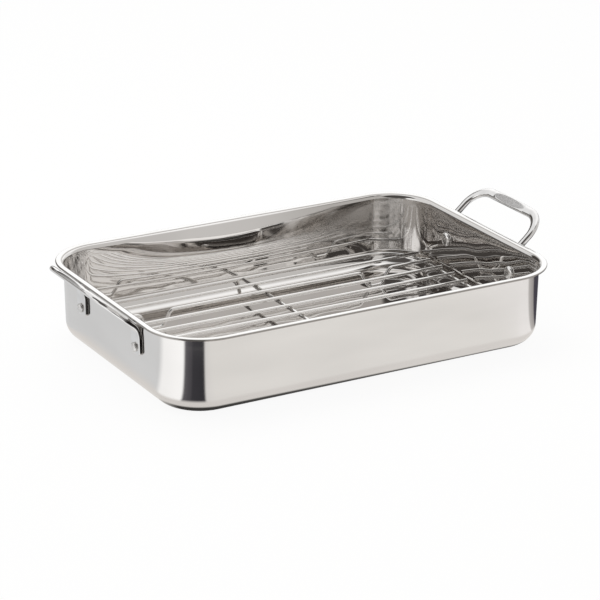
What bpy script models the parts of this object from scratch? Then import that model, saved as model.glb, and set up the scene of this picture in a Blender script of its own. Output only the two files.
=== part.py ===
# A lasagna pan drawn from polished steel sheet, with a riveted loop handle at each end
# and a loose wire rack that lifts out. Metres, +Z up, +X along the pan's long side.
# The origin is the middle of the pan's underside.

import math

import bmesh
import bpy
from mathutils import Matrix, Vector

# Pan: one drawn sheet with a flat rim whose edge is turned under
PAN_LENGTH = 0.3668  # over the end walls, just under the rim
PAN_WIDTH = 0.2452  # over the side walls, just under the rim
PAN_HEIGHT = 0.07
SHEET = 0.001
WALL_LEAN = math.radians(1.2)  # draft of the walls from upright
CORNER_RADIUS = 0.042  # upright corners, outside
FLOOR_RADIUS = 0.0155  # where the walls turn into the floor, outside
NECK_RADIUS = 0.0045  # where the walls turn into the rim, inside
RIM_REACH = 0.0068  # how far the rim stands out from the walls
HEM_GAP = 0.0002  # between the rim and its turned-under edge

# Handles: a cast bar that ends in two ears
HANDLE_SPAN = 0.102  # between the middles of the two legs
HANDLE_RISE = 0.0173  # the grip's centreline above the rim
HANDLE_SLOPE = math.radians(41)  # of the loop, from level
LOOP_CORNER = 0.021  # centreline radius of the loop's two corners
BEND_RADIUS = 0.01  # centreline radius where an ear turns into a leg
BAR_WIDTH = 0.0066
BAR_THICKNESS = 0.0052
BAR_ROUND = 0.0022
GRIP_WIDTH = 0.009
GRIP_LENGTH = 0.05  # over which the grip has its full width
GRIP_TAPER = 0.045  # over which it narrows to a leg, at each end
PAD_LENGTH = 0.046  # the flat on top of the grip
PAD_ROUND = 0.001
PAD_RUNOUT = 0.008  # over which the flat's edges round off, within its length
EAR_WIDTH = 0.017
EAR_THICKNESS = 0.0022
EAR_ROUND = 0.0009
EAR_CORNER = 0.004  # the two lower corners of an ear, seen face on
EAR_DEPTH = 0.0336  # lower end of an ear below the rim
RIM_CLEARANCE = 0.0003  # between the rim's edge and a leg

# Rivets: a domed head inside, a button head outside
RIVET_RISE = 0.0063  # above the lower end of an ear
SHANK_DIAMETER = 0.005
HOLE_CLEARANCE = 0.0003
DOME_DIAMETER = 0.0128
DOME_HEIGHT = 0.0018
BUTTON_DIAMETER = 0.008
BUTTON_HEIGHT = 0.0026
BUTTON_ROUND = 0.0008

# Rack: lengthwise wires on a frame wire, two of them bent down into feet
RACK_END_GAP = 0.0104  # between the frame and the pan at each end, if the rack is centred
RACK_SIDE_GAP = 0.0094  # the same at each side
RACK_END_REST = 0.0038  # gap left at the right end, where the loose rack has slid to
RACK_SIDE_REST = 0.0006  # the same at the rear side
CORNER_EASE = 0.004  # how much tighter the frame's corners are than the pan's
FRAME_WIRE = 0.0035
GRID_WIRE = 0.0032
GRID_COUNT = 9
GRID_REACH = 0.0114  # outermost wires, out past where the frame's corners begin
GRID_OVERHANG = 0.0023  # wire ends past the frame's centreline
FOOT_DROP = 0.0146  # foot centreline below the wires
FOOT_SETBACK = 0.059  # middle of a foot, in from the ends of its wire
FOOT_TOP = 0.031  # width of a foot where it leaves the wire
FOOT_BOTTOM = 0.0135
FOOT_ROUND = 0.0055

SEAT = 0.0003  # gap between pieces that touch

CORNER_STEPS = 10
FLOOR_STEPS = 6
NECK_STEPS = 4
EDGE_STEPS = 9
LOOP_STEPS = 12
HANDLE_RINGS = 28
EAR_STEPS = 3
ROUND_STEPS = 3
DOME_STEPS = 4
RIVET_SIDES = 16
WIRE_CORNER_STEPS = 8
FOOT_STEPS = 4
WIRE_BEVEL_STEPS = 2
SHARP_ANGLE = math.radians(35)
DOME_LIMIT = math.radians(75)  # how near a dome's rings come to its pole

LEVEL = math.radians(90)
NUDGE = 1e-6
STEEL = (0.62, 0.61, 0.59, 1)

rim_edge = 2 * SHEET + HEM_GAP  # thickness of the turned-under edge
neck_height = PAN_HEIGHT - NECK_RADIUS + (NECK_RADIUS - SHEET) * math.sin(WALL_LEAN)


def clear_scene():
    for item in list(bpy.data.objects):
        bpy.data.objects.remove(item, do_unlink=True)


def steel(name, roughness):
    material = bpy.data.materials.new(name)
    material.use_nodes = True
    shader = material.node_tree.nodes["Principled BSDF"]
    shader.inputs["Base Color"].default_value = STEEL
    shader.inputs["Metallic"].default_value = 1
    shader.inputs["Roughness"].default_value = roughness
    return material


def add(name, data, material):
    piece = bpy.data.objects.new(name, data)
    data.materials.clear()
    data.materials.append(material)
    bpy.context.collection.objects.link(piece)
    return piece


def loft(name, rings):
    # A closed skin over rings of as many points each, capped at both ends
    mesh = bmesh.new()
    rows = [[mesh.verts.new(point) for point in ring] for ring in rings]
    sides = len(rings[0])
    for near, far in zip(rows, rows[1:]):
        for i in range(sides):
            j = (i + 1) % sides
            mesh.faces.new((near[i], near[j], far[j], far[i]))
    mesh.faces.new(rows[0])
    mesh.faces.new(rows[-1])
    bmesh.ops.recalc_face_normals(mesh, faces=mesh.faces)
    data = bpy.data.meshes.new(name)
    mesh.to_mesh(data)
    mesh.free()
    data.shade_smooth()
    data.set_sharp_from_angle(angle=SHARP_ANGLE)
    return data


def arc(centre, radius, start, end, steps):
    turns = [start + (end - start) * k / steps for k in range(steps + 1)]
    return [(centre[0] + radius * math.cos(a), centre[1] + radius * math.sin(a)) for a in turns]


def rounded(corners, radii, steps, closed=False):
    # The straight runs between the corners, joined by arcs
    path = []
    last = len(corners) - 1
    for i, corner in enumerate(corners):
        if not closed and i in (0, last):
            path.append(corner)
            continue
        back = (corners[i - 1] - corner).normalized()
        onward = (corners[(i + 1) % (last + 1)] - corner).normalized()
        half = back.angle(onward) / 2
        reach = radii[i] / math.tan(half)
        centre = corner + (back + onward).normalized() * radii[i] / math.sin(half)
        start = corner + back * reach - centre
        axis = start.cross(corner + onward * reach - centre)
        turn = math.pi - 2 * half
        for k in range(steps + 1):
            path.append(centre + Matrix.Rotation(turn * k / steps, 3, axis) @ start)
    return path


def wall_offset(height):
    # Outer face of a leaning wall, against its place at the neck
    return -(neck_height - height) * math.tan(WALL_LEAN)


def floor_centre():
    touch = FLOOR_RADIUS * (1 - math.sin(WALL_LEAN))
    return (wall_offset(touch) - FLOOR_RADIUS * math.cos(WALL_LEAN), FLOOR_RADIUS)


def inner_offset(height):
    # Inner face of the pan at a height, in the floor's fillet or on the wall
    across, up = floor_centre()
    inside = FLOOR_RADIUS - SHEET
    if height < up:
        return across + math.sqrt(inside**2 - (up - height) ** 2)
    return wall_offset(height) - SHEET / math.cos(WALL_LEAN)


def pan_profile():
    # From the underside up the outer wall, round the rim and down the inner wall
    upright = math.pi - WALL_LEAN
    neck = ((NECK_RADIUS - SHEET) * math.cos(WALL_LEAN), PAN_HEIGHT - NECK_RADIUS)
    edge_radius = rim_edge / 2
    edge = (RIM_REACH - edge_radius, PAN_HEIGHT - edge_radius)
    turn_start = math.pi - math.asin((edge_radius - SHEET) / edge_radius)
    profile = arc(floor_centre(), FLOOR_RADIUS, -LEVEL, -WALL_LEAN, FLOOR_STEPS)
    profile += arc(neck, NECK_RADIUS - SHEET, upright, LEVEL, NECK_STEPS)
    profile += arc(edge, edge_radius, turn_start, LEVEL + 2 * math.pi, EDGE_STEPS)
    profile += arc(neck, NECK_RADIUS, LEVEL, upright, NECK_STEPS)
    profile += arc(floor_centre(), FLOOR_RADIUS - SHEET, -WALL_LEAN, -LEVEL, FLOOR_STEPS)
    return profile


def plan_ring(offset, height):
    radius = CORNER_RADIUS + offset
    across = PAN_LENGTH / 2 + offset
    along = PAN_WIDTH / 2 + offset
    ring = []
    for quarter, (sx, sy) in enumerate(((1, 1), (-1, 1), (-1, -1), (1, -1))):
        centre = (sx * (across - radius), sy * (along - radius))
        start = quarter * LEVEL
        ring += [Vector((x, y, height)) for x, y in arc(centre, radius, start, start + LEVEL, CORNER_STEPS)]
    return ring


def end_place(side, out, across, height):
    # A point near an end wall: out is measured square from the wall's outer face
    base = PAN_LENGTH / 2 + wall_offset(height)
    return Vector((
        side * (base + out * math.cos(WALL_LEAN)),
        across,
        height - out * math.sin(WALL_LEAN),
    ))


def rivet_places():
    height = PAN_HEIGHT - EAR_DEPTH + RIVET_RISE
    for end, side in (("left", -1), ("right", 1)):
        for place, across in (("front", -HANDLE_SPAN / 2), ("rear", HANDLE_SPAN / 2)):
            matrix = Matrix.Translation(end_place(side, 0, across, height))
            if side < 0:
                matrix @= Matrix.Rotation(math.pi, 4, "Z")
            yield f"rivet_{end}_{place}", end, matrix @ Matrix.Rotation(WALL_LEAN, 4, "Y")


def turned(name, profile, sides):
    # A round piece about its own X axis
    turns = [2 * math.pi * k / sides for k in range(sides)]
    return loft(name, [[Vector((x, r * math.cos(a), r * math.sin(a))) for a in turns] for x, r in profile])


def rivet_mesh():
    inner = -SHEET - SEAT
    outer = SEAT + EAR_THICKNESS + SEAT
    shank = SHANK_DIAMETER / 2
    button = BUTTON_DIAMETER / 2
    crown = [DOME_LIMIT * (1 - k / DOME_STEPS) for k in range(DOME_STEPS + 1)]
    profile = [(inner - DOME_HEIGHT * math.sin(a), DOME_DIAMETER / 2 * math.cos(a)) for a in crown]
    profile += [(inner, shank), (outer, shank), (outer, button)]
    top = (outer + BUTTON_HEIGHT - BUTTON_ROUND, button - BUTTON_ROUND)
    profile += arc(top, BUTTON_ROUND, LEVEL, 0, ROUND_STEPS)
    return turned("rivet", profile, RIVET_SIDES)


def hole_cutter(name, matrix):
    radius = SHANK_DIAMETER / 2 + HOLE_CLEARANCE
    reach = EAR_THICKNESS + SHEET + BUTTON_HEIGHT
    data = turned(name, ((-reach, radius), (reach, radius)), RIVET_SIDES)
    cutter = bpy.data.objects.new(name, data)
    bpy.context.collection.objects.link(cutter)
    cutter.matrix_world = matrix
    cutter.hide_render = True
    cutter.display_type = "WIRE"
    return cutter


def cut(piece, cutter):
    modifier = piece.modifiers.new(cutter.name, "BOOLEAN")
    modifier.operation = "DIFFERENCE"
    modifier.solver = "EXACT"
    modifier.object = cutter


def eased(start, end, at):
    part = min(max((at - start) / (end - start), 0), 1)
    return part * part * (3 - 2 * part)


def mix(a, b, part):
    return a + (b - a) * part


def section(width, thickness, upper, lower):
    # Rounded rectangle: across the bar, then towards its outer or lower face
    points = []
    corners = ((1, 1, lower), (-1, 1, lower), (-1, -1, upper), (1, -1, upper))
    for quarter, (sx, sy, radius) in enumerate(corners):
        centre = (sx * (width / 2 - radius), sy * (thickness / 2 - radius))
        start = quarter * LEVEL
        points += arc(centre, radius, start, start + LEVEL, ROUND_STEPS)
    return points


def loop_line():
    # Where the leg's centreline passes under the rim's edge, and its direction
    along = Vector((math.cos(HANDLE_SLOPE), 0, math.sin(HANDLE_SLOPE)))
    below = Vector((math.sin(HANDLE_SLOPE), 0, -math.cos(HANDLE_SLOPE)))
    edge = Vector((PAN_LENGTH / 2 + RIM_REACH - rim_edge / 2, 0, PAN_HEIGHT - rim_edge / 2))
    return edge + below * (rim_edge / 2 + RIM_CLEARANCE + BAR_THICKNESS / 2), along, below


def handle_mesh():
    # The right-hand handle, one half walked from an ear to the middle and then mirrored
    half_span = HANDLE_SPAN / 2
    passing, along, below = loop_line()
    wall_up = Vector((math.sin(WALL_LEAN), 0, math.cos(WALL_LEAN)))
    foot = end_place(1, SEAT + EAR_THICKNESS / 2, 0, PAN_HEIGHT - EAR_DEPTH)
    gap = passing - foot
    climb = (gap.x * along.z - gap.z * along.x) / (wall_up.x * along.z - wall_up.z * along.x)
    bend = foot + wall_up * climb
    top = bend + along * ((PAN_HEIGHT + HANDLE_RISE - bend.z) / along.z)
    front = Vector((0, -half_span, 0))
    corners = [foot + front, bend + front, top + front, top]
    path = rounded(corners, (0, BEND_RADIUS, LOOP_CORNER, 0), LOOP_STEPS)

    bend_reach = BEND_RADIUS * math.tan(wall_up.angle(along) / 2)
    ear_top = climb - bend_reach
    leg_start = climb + bend_reach
    lengths = [0.0]
    for a, b in zip(path, path[1:]):
        lengths.append(lengths[-1] + (b - a).length)
    whole = lengths[-1]
    stops = [EAR_CORNER * (1 - math.cos(LEVEL * k / EAR_STEPS)) for k in range(EAR_STEPS + 1)]
    stops += [mix(EAR_CORNER, whole, k / HANDLE_RINGS) for k in range(1, HANDLE_RINGS + 1)]

    half = []
    for stop in stops:
        i = max(k for k in range(len(path) - 1) if lengths[k] <= stop + NUDGE)
        tangent = (path[i + 1] - path[i]).normalized()
        place = path[i] + tangent * (stop - lengths[i])
        if place.y < -half_span + NUDGE:
            side = Vector((0, -1, 0))
            normal = tangent.cross(side)
        else:
            normal = below
            side = normal.cross(tangent)
        to_bar = eased(ear_top - EAR_CORNER, leg_start + EAR_CORNER, stop)
        to_grip = eased(GRIP_LENGTH / 2 + GRIP_TAPER, GRIP_LENGTH / 2, whole - stop)
        to_pad = eased(PAD_LENGTH / 2, PAD_LENGTH / 2 - PAD_RUNOUT, whole - stop)
        width = mix(mix(EAR_WIDTH, BAR_WIDTH, to_bar), GRIP_WIDTH, to_grip)
        if stop < EAR_CORNER:
            inward = EAR_CORNER - stop
            width -= 2 * (EAR_CORNER - math.sqrt(EAR_CORNER**2 - inward**2))
        thickness = mix(EAR_THICKNESS, BAR_THICKNESS, to_bar)
        lower = mix(EAR_ROUND, BAR_ROUND, to_bar)
        upper = mix(lower, PAD_ROUND, to_pad)
        ring = section(width, thickness, upper, lower)
        half.append([place + side * a + normal * b for a, b in ring])
    mirror = Matrix.Diagonal((1, -1, 1))
    return loft("handle", half + [[mirror @ p for p in ring] for ring in reversed(half[:-1])])


def wire(name, points, diameter, material, parent, closed=False):
    curve = bpy.data.curves.new(name, "CURVE")
    curve.dimensions = "3D"
    curve.bevel_depth = diameter / 2
    curve.bevel_resolution = WIRE_BEVEL_STEPS
    curve.use_fill_caps = not closed
    spline = curve.splines.new("POLY")
    spline.points.add(len(points) - 1)
    for point, place in zip(spline.points, points):
        point.co = (*place, 1)
    spline.use_cyclic_u = closed
    piece = add(name, curve, material)
    piece.parent = parent
    return piece


def make_pan():
    pan = add("pan_body", loft("pan_body", [plan_ring(*p) for p in pan_profile()]), steel("pan_steel", 0.16))
    handle = handle_mesh()
    polished = steel("handle_steel", 0.08)
    handles = {
        "left": add("handle_left", handle, polished),
        "right": add("handle_right", handle, polished),
    }
    handles["left"].rotation_euler.z = math.pi
    rivet = rivet_mesh()
    riveted = steel("rivet_steel", 0.12)
    for name, end, matrix in rivet_places():
        add(name, rivet, riveted).matrix_world = matrix
        cutter = hole_cutter(name + "_hole", matrix)
        cut(pan, cutter)
        cut(handles[end], cutter)


def make_rack():
    grid_height = SHEET + SEAT + GRID_WIRE / 2 + FOOT_DROP
    frame_height = grid_height - GRID_WIRE / 2 - SEAT - FRAME_WIRE / 2
    inside = inner_offset(frame_height - FRAME_WIRE / 2) - FRAME_WIRE / 2
    half_length = PAN_LENGTH / 2 + inside - RACK_END_GAP
    half_width = PAN_WIDTH / 2 + inside - RACK_SIDE_GAP
    corner = CORNER_RADIUS - CORNER_EASE

    rack = bpy.data.objects.new("rack", None)
    rack.location = (RACK_END_GAP - RACK_END_REST, RACK_SIDE_GAP - RACK_SIDE_REST, 0)
    bpy.context.collection.objects.link(rack)
    wire_steel = steel("wire_steel", 0.14)

    loop = [
        Vector((x * half_length, y * half_width, frame_height))
        for x, y in ((1, 1), (-1, 1), (-1, -1), (1, -1))
    ]
    wire("rack_frame", rounded(loop, (corner,) * 4, WIRE_CORNER_STEPS, True), FRAME_WIRE, wire_steel, rack, True)
    brace = half_width - FRAME_WIRE / 2 - SEAT
    ends = [Vector((0, side * brace, frame_height)) for side in (-1, 1)]
    wire("rack_cross_wire", ends, FRAME_WIRE, wire_steel, rack)

    end = half_length + GRID_OVERHANG
    half_count = GRID_COUNT // 2
    pitch = (half_width - corner + GRID_REACH) / half_count
    for n in range(-half_count, half_count + 1):
        middle = end - FOOT_SETBACK
        shape = [(-end, 0)]
        if abs(n) == half_count - 1:
            for foot in (-middle, middle):
                shape += [
                    (foot - FOOT_TOP / 2, 0),
                    (foot - FOOT_BOTTOM / 2, -FOOT_DROP),
                    (foot + FOOT_BOTTOM / 2, -FOOT_DROP),
                    (foot + FOOT_TOP / 2, 0),
                ]
        shape.append((end, 0))
        corners = [Vector((x, n * pitch, grid_height + z)) for x, z in shape]
        path = rounded(corners, (FOOT_ROUND,) * len(corners), FOOT_STEPS)
        kind = "rack_footed_wire" if len(shape) > 2 else "rack_wire"
        wire(f"{kind}_{n + half_count + 1}", path, GRID_WIRE, wire_steel, rack)


clear_scene()
make_pan()
make_rack()
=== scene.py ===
import math

import bmesh
import bpy
from mathutils import Matrix, Vector


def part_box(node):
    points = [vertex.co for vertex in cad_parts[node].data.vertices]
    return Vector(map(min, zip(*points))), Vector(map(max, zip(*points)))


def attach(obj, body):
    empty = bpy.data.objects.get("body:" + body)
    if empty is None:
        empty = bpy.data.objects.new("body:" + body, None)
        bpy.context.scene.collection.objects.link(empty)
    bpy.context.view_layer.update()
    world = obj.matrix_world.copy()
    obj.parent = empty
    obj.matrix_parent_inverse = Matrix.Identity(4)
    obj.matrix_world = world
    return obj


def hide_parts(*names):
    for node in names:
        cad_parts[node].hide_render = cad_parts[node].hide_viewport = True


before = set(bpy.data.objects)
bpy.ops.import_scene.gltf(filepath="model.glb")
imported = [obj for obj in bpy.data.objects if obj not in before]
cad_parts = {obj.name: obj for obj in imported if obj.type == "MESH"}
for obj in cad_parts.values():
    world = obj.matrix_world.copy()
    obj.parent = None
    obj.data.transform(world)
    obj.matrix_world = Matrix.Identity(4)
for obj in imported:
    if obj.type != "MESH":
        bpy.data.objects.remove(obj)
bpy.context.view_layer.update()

quarterTurn = math.radians(90)
quarters = ((1, 1), (-1, 1), (-1, -1), (1, -1))  # signs of x and y at the four corners, in turn
sharpEdge = math.radians(35)  # sharper folds than this keep a crisp edge
noiseSpan = (0.3, 0.7)  # nearly all values of a noise lie in here


# Small helpers

def linear(hexColour):  # sRGB hex to the linear values that shaders take
    channels = [int(hexColour[i:i + 2], 16) / 255 for i in (1, 3, 5)]
    return (*[c / 12.92 if c <= 0.04045 else ((c + 0.055) / 1.055) ** 2.4 for c in channels], 1)


def addNode(tree, kind, settings=None):  # sockets are linked to the node's inputs, other values are set
    made = tree.nodes.new(kind)
    for name, value in (settings or {}).items():
        if isinstance(value, bpy.types.NodeSocket):
            tree.links.new(value, made.inputs[name])
        elif isinstance(name, int) or name in made.inputs:
            made.inputs[name].default_value = value
        else:
            setattr(made, name, value)
    return made


def arc(centre, radius, start, end, steps):
    turns = [start + (end - start) * k / steps for k in range(steps + 1)]
    return [(centre[0] + radius * math.cos(a), centre[1] + radius * math.sin(a)) for a in turns]


def mix(a, b, part):
    return a + (b - a) * part


def eased(start, end, at):
    part = min(max((at - start) / (end - start), 0), 1)
    return part * part * (3 - 2 * part)


def rounded(corners, radii, steps, closed=False):  # straight runs joined by arcs
    path = []
    last = len(corners) - 1
    for i, corner in enumerate(corners):
        if not closed and i in (0, last):
            path.append(corner)
            continue
        back = (corners[i - 1] - corner).normalized()
        onward = (corners[(i + 1) % (last + 1)] - corner).normalized()
        half = back.angle(onward) / 2
        reach = radii[i] / math.tan(half)
        centre = corner + (back + onward).normalized() * radii[i] / math.sin(half)
        start = corner + back * reach - centre
        axis = start.cross(corner + onward * reach - centre)
        turn = math.pi - 2 * half
        for k in range(steps + 1):
            path.append(centre + Matrix.Rotation(turn * k / steps, 3, axis) @ start)
    return path


def loft(rings, finishes=lambda strip, side: 0, joined=False):  # skin over rings of as many points each
    shape = bmesh.new()
    rows = [[shape.verts.new(point) for point in ring] for ring in rings]
    sides = len(rings[0])
    following = rows[1:] + rows[:1] if joined else rows[1:]
    pairs = list(zip(rows, following))
    for strip, (near, far) in enumerate(pairs):
        for i in range(sides):
            j = (i + 1) % sides
            face = shape.faces.new((near[i], near[j], far[j], far[i]))
            face.material_index = finishes(strip, i)
    if not joined:
        shape.faces.new(rows[0]).material_index = finishes(-1, 0)
        shape.faces.new(rows[-1]).material_index = finishes(len(pairs), 0)
    bmesh.ops.recalc_face_normals(shape, faces=shape.faces)
    return shape


def smoothMesh(name, shape):
    data = bpy.data.meshes.new(name)
    shape.to_mesh(data)
    shape.free()
    data.shade_smooth()
    data.set_sharp_from_angle(angle=sharpEdge)
    return data


def addObject(name, data, finishes):
    for finish in finishes:
        data.materials.append(finish)
    piece = bpy.data.objects.new(name, data)
    bpy.context.scene.collection.objects.link(piece)
    return piece


def dress(piece, body, slot, *nodes):  # stands for the frame's nodes and moves with their body
    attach(piece, body)
    if nodes:
        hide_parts(*nodes)


# Steel finishes

def newSteel(name):
    material = bpy.data.materials.new(name)
    material.use_nodes = True
    tree = material.node_tree
    shader = tree.nodes["Principled BSDF"]
    shader.inputs["Metallic"].default_value = 1
    return material, tree, shader


def setLook(tree, shader, colour, roughness, normal):
    tree.links.new(colour, shader.inputs["Base Color"])
    tree.links.new(roughness, shader.inputs["Roughness"])
    tree.links.new(normal, shader.inputs["Normal"])


def pieceAxes(tree):  # where a point of the piece lies: x, y and z in metres
    place = addNode(tree, "ShaderNodeTexCoord")
    return addNode(tree, "ShaderNodeSeparateXYZ", {0: place.outputs["Object"]}).outputs


def streaks(tree, cell, detail=2):  # noise whose cells measure cell = (x, y, z) in metres
    place = addNode(tree, "ShaderNodeTexCoord")
    settings = {"Vector": place.outputs["Object"], "Scale": [1 / c for c in cell]}
    scaled = addNode(tree, "ShaderNodeMapping", settings)
    settings = {"Vector": scaled.outputs[0], "Scale": 1, "Detail": detail}
    return addNode(tree, "ShaderNodeTexNoise", settings).outputs["Fac"]


def mottled(tree, finish, tone, fine):  # a finish's colour from one noise, its roughness from another
    low, high = noiseSpan
    part = addNode(tree, "ShaderNodeMapRange", {0: tone, 1: low, 2: high})
    colours = {6: linear(finish["dark"]), 7: linear(finish["pale"])}
    colour = addNode(tree, "ShaderNodeMix", {"data_type": "RGBA", 0: part.outputs[0], **colours})
    smooth, rough = finish["roughness"]
    roughness = addNode(tree, "ShaderNodeMapRange", {0: fine, 1: low, 2: high, 3: smooth, 4: rough})
    return colour.outputs[2], roughness.outputs[0]


outsideFinish = {
    "pale": "#e8e6e4",
    "dark": "#e0dedc",
    "roughness": (0.09, 0.13),
    "grit": (0.12, 0.12, 0.001),  # drawn coarser than the real 0.2 mm lines, to show
    "gritDepth": 0.0000006,
    "cloud": (0.12, 0.12, 0.03),  # slow unevenness from one pass of the belt to the next, 30 mm high
    "anisotropy": 0.3,
    "brushTurn": 0.25,  # a quarter of a turn: across the lines of the belt
}


def satinSheet():
    # 18/10 stainless sheet, belt satined along the walls: soft reflections, drawn out upright
    material, tree, shader = newSteel("satinSheet")
    grit = streaks(tree, outsideFinish["grit"], detail=3)
    cloud = streaks(tree, outsideFinish["cloud"])
    colour, roughness = mottled(tree, outsideFinish, cloud, grit)
    relief = addNode(tree, "ShaderNodeBump", {"Height": grit, "Distance": outsideFinish["gritDepth"]})
    setLook(tree, shader, colour, roughness, relief.outputs[0])
    tangent = addNode(tree, "ShaderNodeTangent", {"direction_type": "RADIAL", "axis": "Z"})
    tree.links.new(tangent.outputs[0], shader.inputs["Tangent"])
    shader.inputs["Anisotropic"].default_value = outsideFinish["anisotropy"]
    shader.inputs["Anisotropic Rotation"].default_value = outsideFinish["brushTurn"]
    return material


insideFinish = {
    "pale": "#e8e6e4",
    "dark": "#dfdddb",
    "roughness": (0.006, 0.03),
    "line": (0.06, 0.06, 0.0012),  # the buff's lines, drawn coarser than the real 0.1 mm, to show
    "wave": (0.07, 0.07, 0.06),  # the sheet's slow ripple after drawing
    "waveDepth": 0.00016,
    "dent": (0.026, 0.026, 0.03),  # the end walls' shorter ripple, round the rivets
    "dentDepth": 0.0005,
    "bowFoot": 0.018,  # from there up, the walls' middles flare outward between the stiff corners
    "longBow": 0.0067,
    "longBowReach": 0.15,
    "endBow": 0.0022,
    "endBowReach": 0.09,
    "cornerBlur": 0.07,  # the drawn corners are buffed less
    "cornerBlend": 0.012,  # which comes on over so much of their bend
    "cornerFoot": (0.008, 0.022),  # and over this height
    "cloudBlur": 0.07,  # the rear wall's right part is buffed less too
    "cloudFrom": (0.02, 0.1),
    "cloudFoot": (0.022, 0.036),
    "wallBand": (0.012, 0.004),  # inward of the walls' line under the rim: tells a wall from the floor
    "paintedShadeTone": "#cfccc9",  # painted shade: the darker tone that the end walls and the rear wall's right part are mixed towards
    "endPaintedShade": 0.5,  # how far the end walls go towards that painted shade
}


def wallMiddle(tree, level, half):  # 1 at the middle of a wall, falling to 0 towards its corners
    share = addNode(tree, "ShaderNodeMath", {"operation": "DIVIDE", 0: level, 1: half}).outputs[0]
    square = addNode(tree, "ShaderNodeMath", {"operation": "MULTIPLY", 0: share, 1: share})
    settings = {"operation": "SUBTRACT", "use_clamp": True, 0: 1, 1: square.outputs[0]}
    return addNode(tree, "ShaderNodeMath", settings).outputs[0]


def mirrorSheet():
    # The same sheet buffed inside: a mirror that ripples, with walls that flare a little in their middles,
    # and painted shade that darkens the end walls and the rear wall's right part
    material, tree, shader = newSteel("mirrorSheet")
    wave = streaks(tree, insideFinish["wave"], detail=1)
    dent = streaks(tree, insideFinish["dent"], detail=0)
    line = streaks(tree, insideFinish["line"])
    colour, roughness = mottled(tree, insideFinish, wave, line)
    x, y, z = pieceAxes(tree)
    radius = pan["cornerRadius"]

    past = []  # how far beyond the corners' centres, along and across the pan
    for level, half in ((x, halfLength), (y, halfWidth)):
        flat = addNode(tree, "ShaderNodeMath", {"operation": "ABSOLUTE", 0: level}).outputs[0]
        settings = {"operation": "SUBTRACT", 0: flat, 1: half - radius}
        past.append(addNode(tree, "ShaderNodeMath", settings).outputs[0])
    least = addNode(tree, "ShaderNodeMath", {"operation": "MINIMUM", 0: past[0], 1: past[1]}).outputs[0]
    settings = {0: least, 1: 0, 2: insideFinish["cornerBlend"], 4: insideFinish["cornerBlur"]}
    bend = addNode(tree, "ShaderNodeMapRange", settings).outputs[0]
    low, high = insideFinish["cornerFoot"]
    cornerBlur = addNode(tree, "ShaderNodeMapRange", {0: z, 1: low, 2: high, 4: bend}).outputs[0]

    start, full = insideFinish["wallBand"]
    low, high = insideFinish["cloudFrom"]
    right = addNode(tree, "ShaderNodeMapRange", {0: x, 1: low, 2: high}).outputs[0]
    settings = {0: y, 1: halfWidth - start, 2: halfWidth - full, 4: right}
    rear = addNode(tree, "ShaderNodeMapRange", settings).outputs[0]
    low, high = insideFinish["cloudFoot"]
    cloud = addNode(tree, "ShaderNodeMapRange", {0: z, 1: low, 2: high, 4: rear}).outputs[0]
    settings = {"operation": "MULTIPLY", 0: cloud, 1: insideFinish["cloudBlur"]}
    cloudBlur = addNode(tree, "ShaderNodeMath", settings).outputs[0]
    settings = {"operation": "MAXIMUM", 0: cornerBlur, 1: cloudBlur}
    blur = addNode(tree, "ShaderNodeMath", settings).outputs[0]
    roughness = addNode(tree, "ShaderNodeMath", {"operation": "ADD", 0: blur, 1: roughness})

    # Painted shade: the end walls, and the rear wall's right part, are darkened in colour towards a grey
    # tone
    settings = {0: past[0], 1: radius - start, 2: radius - full, 4: insideFinish["endPaintedShade"]}
    ends = addNode(tree, "ShaderNodeMapRange", settings).outputs[0]
    paintedShade = addNode(tree, "ShaderNodeMath", {"operation": "MAXIMUM", 0: cloud, 1: ends}).outputs[0]
    paintedShadeTone = linear(insideFinish["paintedShadeTone"])
    colour = addNode(tree, "ShaderNodeMix", {"data_type": "RGBA", 0: paintedShade, 6: colour, 7: paintedShadeTone})

    rise = addNode(tree, "ShaderNodeMapRange", {0: z, 1: insideFinish["bowFoot"], 2: rimHeight}).outputs[0]
    climb = addNode(tree, "ShaderNodeMath", {"operation": "MULTIPLY", 0: rise, 1: rise}).outputs[0]
    rearHalf = addNode(tree, "ShaderNodeMath", {"operation": "GREATER_THAN", 0: y, 1: 0}).outputs[0]
    settings = {"operation": "MULTIPLY", 0: climb, 1: rearHalf}
    rearClimb = addNode(tree, "ShaderNodeMath", settings).outputs[0]
    longWall = wallMiddle(tree, x, insideFinish["longBowReach"])
    endWall = wallMiddle(tree, y, insideFinish["endBowReach"])
    normal = {}
    for form, where, depth in (
        (rearClimb, longWall, -insideFinish["longBow"]),
        (climb, endWall, -insideFinish["endBow"]),
        (wave, 1, insideFinish["waveDepth"]),
        (dent, endWall, insideFinish["dentDepth"]),
    ):
        height = addNode(tree, "ShaderNodeMath", {"operation": "MULTIPLY", 0: form, 1: where}).outputs[0]
        relief = addNode(tree, "ShaderNodeBump", {"Height": height, "Distance": depth, **normal})
        normal = {"Normal": relief.outputs[0]}
    setLook(tree, shader, colour.outputs[2], roughness.outputs[0], relief.outputs[0])
    return material


rimFinish = {
    "pale": "#ecebea",
    "dark": "#e2e1df",
    "roughness": (0.02, 0.05),
    "scuff": (0.02, 0.02, 0.004),  # the rolling's marks, about 20 mm long
    "scuffDepth": 0.000004,
    "paintedRimShade": "#a39f9b",
    "paintedRimShadeDrop": (0.0001, 0.0005),  # below the rim's top, where the painted shade on its bends starts, on both sides
}


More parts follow.
